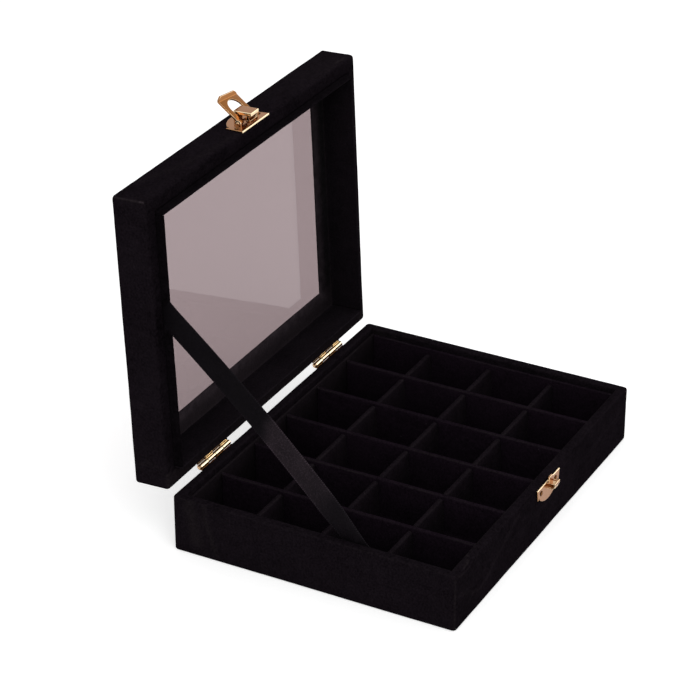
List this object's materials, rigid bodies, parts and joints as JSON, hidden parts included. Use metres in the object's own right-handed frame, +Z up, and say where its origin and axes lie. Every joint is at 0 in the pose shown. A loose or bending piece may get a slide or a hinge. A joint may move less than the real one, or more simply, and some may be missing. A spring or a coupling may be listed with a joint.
{
  "type": "display box",
  "caption": "Velvet display box with a glazed lid, a tray of small compartments, a ribbon stay and a brass clasp.",
  "frame": {"origin": "middle of the base's underside", "axes": "+X along the hinges to the right, +Y from the clasp to the hinges, +Z up"},
  "size_m": [0.2, 0.1823, 0.1951],
  "materials": {
    "velvet": "short velvet nap",
    "velvet_lining": "short velvet nap",
    "satin": "satin weave",
    "glass": "clear",
    "brass": "polished plating"
  },
  "bodies": {
    "base": {"base_bottom_panel": "velvet", "base_front_wall": "velvet", "base_back_wall": "velvet", "base_left_wall": "velvet", "base_right_wall": "velvet", "tray_floor_pad": "velvet_lining", "tray_front_liner": "velvet_lining", "tray_back_liner": "velvet_lining", "tray_left_liner": "velvet_lining", "tray_right_liner": "velvet_lining", "long_divider_1": "velvet_lining", "long_divider_2": "velvet_lining", "long_divider_3": "velvet_lining", "long_divider_4": "velvet_lining", "long_divider_5": "velvet_lining", "cross_divider_1_1": "velvet_lining", "cross_divider_1_2": "velvet_lining", "cross_divider_1_3": "velvet_lining", "cross_divider_2_1": "velvet_lining", "cross_divider_2_2": "velvet_lining", "cross_divider_2_3": "velvet_lining", "cross_divider_3_1": "velvet_lining", "cross_divider_3_2": "velvet_lining", "cross_divider_3_3": "velvet_lining", "cross_divider_4_1": "velvet_lining", "cross_divider_4_2": "velvet_lining", "cross_divider_4_3": "velvet_lining", "cross_divider_5_1": "velvet_lining", "cross_divider_5_2": "velvet_lining", "cross_divider_5_3": "velvet_lining", "cross_divider_6_1": "velvet_lining", "cross_divider_6_2": "velvet_lining", "cross_divider_6_3": "velvet_lining", "keeper_plate": "brass", "keeper_nails": "brass", "left_hinge_base_leaf": "brass", "right_hinge_base_leaf": "brass", "left_hinge_pin": "brass", "right_hinge_pin": "brass", "ribbon_stay": "satin"},
    "lid": {"lid_front_wall": "velvet", "lid_back_wall": "velvet", "lid_left_wall": "velvet", "lid_right_wall": "velvet", "lid_top_panel": "velvet", "glass_pane": "glass", "glass_border": "velvet_lining", "lid_front_liner": "velvet_lining", "lid_back_liner": "velvet_lining", "lid_left_liner": "velvet_lining", "lid_right_liner": "velvet_lining", "left_hinge_lid_leaf": "brass", "right_hinge_lid_leaf": "brass", "hasp_plate": "brass", "hasp_pin": "brass", "hasp_nails": "brass"},
    "loop": {"hasp_loop": "brass"}
  },
  "joints": [
    {"name": "lid_hinge", "type": "hinge", "parent": "base", "child": "lid", "pos_m": [0, 0.0767, 0.0302], "axis": [1, 0, 0], "range_deg": [0, 92.5], "deforming": ["ribbon_stay"]},
    {"name": "loop_pivot", "type": "hinge", "parent": "lid", "child": "loop", "pos_m": [0, 0.08881, 0.18382], "axis": [1, 0, 0], "range_deg": [-35, 130]}
  ]
}
